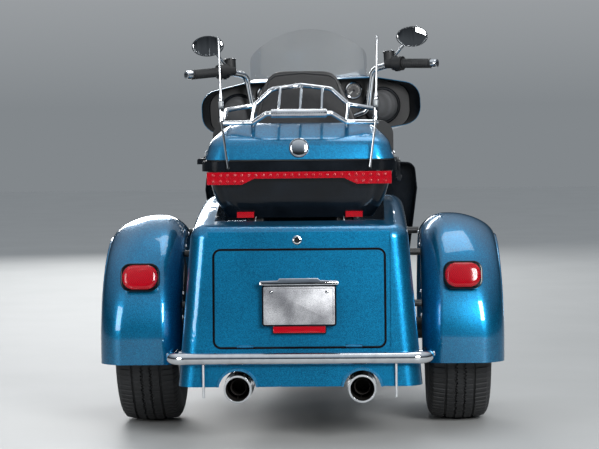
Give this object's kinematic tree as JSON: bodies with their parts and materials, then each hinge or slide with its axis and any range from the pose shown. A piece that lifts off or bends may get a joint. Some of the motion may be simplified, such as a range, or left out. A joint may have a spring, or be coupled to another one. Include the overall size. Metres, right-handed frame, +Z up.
{
  "type": "motorized trike",
  "caption": "Full-dress touring trike: fendered rear wheels beside a trunk body with a drop-down door, hinged top case with rack and backrest, fork fairing, open V engine.",
  "frame": {"origin": "on the ground, at the middle of the trike's overall length and width", "axes": "+Y is ahead, +X is the rider's right, +Z is up"},
  "size_m": [1.39, 2.6692, 1.444],
  "materials": {
    "teal_paint": "gloss metallic",
    "teal_moulding": "gloss metallic paint on moulded panels",
    "black_metal": "satin black",
    "chrome": "polished",
    "cast_aluminium": "cast, satin",
    "disc_steel": "ground",
    "rubber": "moulded tread",
    "vinyl": "grained vinyl",
    "black_plastic": "grained",
    "red_lens": "clear red moulding",
    "clear_lens": "clear",
    "shield": "clear sheet",
    "mirror": "silvered"
  },
  "bodies": {
    "chassis": {"frame": "black_metal", "engine_case": "cast_aluminium", "engine_cylinders": "cast_aluminium", "air_cleaner": "chrome", "exhaust_left": "chrome", "exhaust_right": "chrome", "exhaust_pipes": "chrome", "drive_shaft": "black_metal", "trunk_rear_panel": "teal_moulding", "fuel_tank": "teal_paint", "seat": "vinyl", "rear_axle": "black_metal", "shock_absorbers": "black_metal", "trunk_shell": "teal_moulding", "trunk_liner": "black_plastic", "rear_fender_left": "teal_moulding", "rear_fender_right": "teal_moulding", "tail_lamps": "red_lens", "rear_bumper": "chrome", "top_case_tub": "teal_moulding", "top_case_carrier": "black_metal", "top_case_lamp": "red_lens", "antennas": "chrome", "backrest_pad": "vinyl", "speaker_pods": "black_plastic", "engine_guard": "chrome", "lower_fairings": "teal_moulding", "footboards": "black_plastic", "side_covers": "teal_moulding"},
    "steering": {"fork": "black_metal", "front_fender": "teal_moulding", "fairing_shell": "teal_moulding", "fairing_dash": "black_plastic", "windshield": "shield", "handlebar": "chrome", "controls": "black_plastic", "mirrors": "chrome", "mirror_glasses": "mirror", "front_lamps": "clear_lens", "front_brakes": "black_metal"},
    "front_wheel": {"front_tyre": "rubber", "front_rim": "cast_aluminium", "front_discs": "disc_steel"},
    "rear_wheel_left": {"rear_tyre_left": "rubber", "rear_rim_left": "cast_aluminium"},
    "rear_wheel_right": {"rear_tyre_right": "rubber", "rear_rim_right": "cast_aluminium"},
    "case_lid": {"top_case_lid": "teal_moulding", "luggage_rack": "chrome"},
    "trunk_flap": {"trunk_door": "teal_moulding", "plate_holder": "chrome"}
  },
  "joints": [
    {"name": "steering_turn", "type": "hinge", "parent": "chassis", "child": "steering", "pos_m": [0, 0.69067, 0.87], "axis": [0, -0.4384, 0.8988], "range_deg": [-35, 25]},
    {"name": "front_wheel_spin", "type": "hinge", "parent": "steering", "child": "front_wheel", "pos_m": [-0.00439, 1.01483, 0.31992], "axis": [0.9962, 0.0783, 0.0382], "continuous": true},
    {"name": "rear_wheel_left_spin", "type": "hinge", "parent": "chassis", "child": "rear_wheel_left", "pos_m": [-0.546, -0.655, 0.324], "axis": [1, 0, 0], "continuous": true},
    {"name": "rear_wheel_right_spin", "type": "hinge", "parent": "chassis", "child": "rear_wheel_right", "pos_m": [0.546, -0.655, 0.324], "axis": [1, 0, 0], "continuous": true},
    {"name": "case_lid_open", "type": "hinge", "parent": "chassis", "child": "case_lid", "pos_m": [-0.343, -0.885, 0.943], "axis": [0, -1, 0], "range_deg": [0, 80]},
    {"name": "trunk_flap_open", "type": "hinge", "parent": "chassis", "child": "trunk_flap", "pos_m": [0, -1.28567, 0.33153], "axis": [1, 0, 0], "range_deg": [0, 80]}
  ]
}
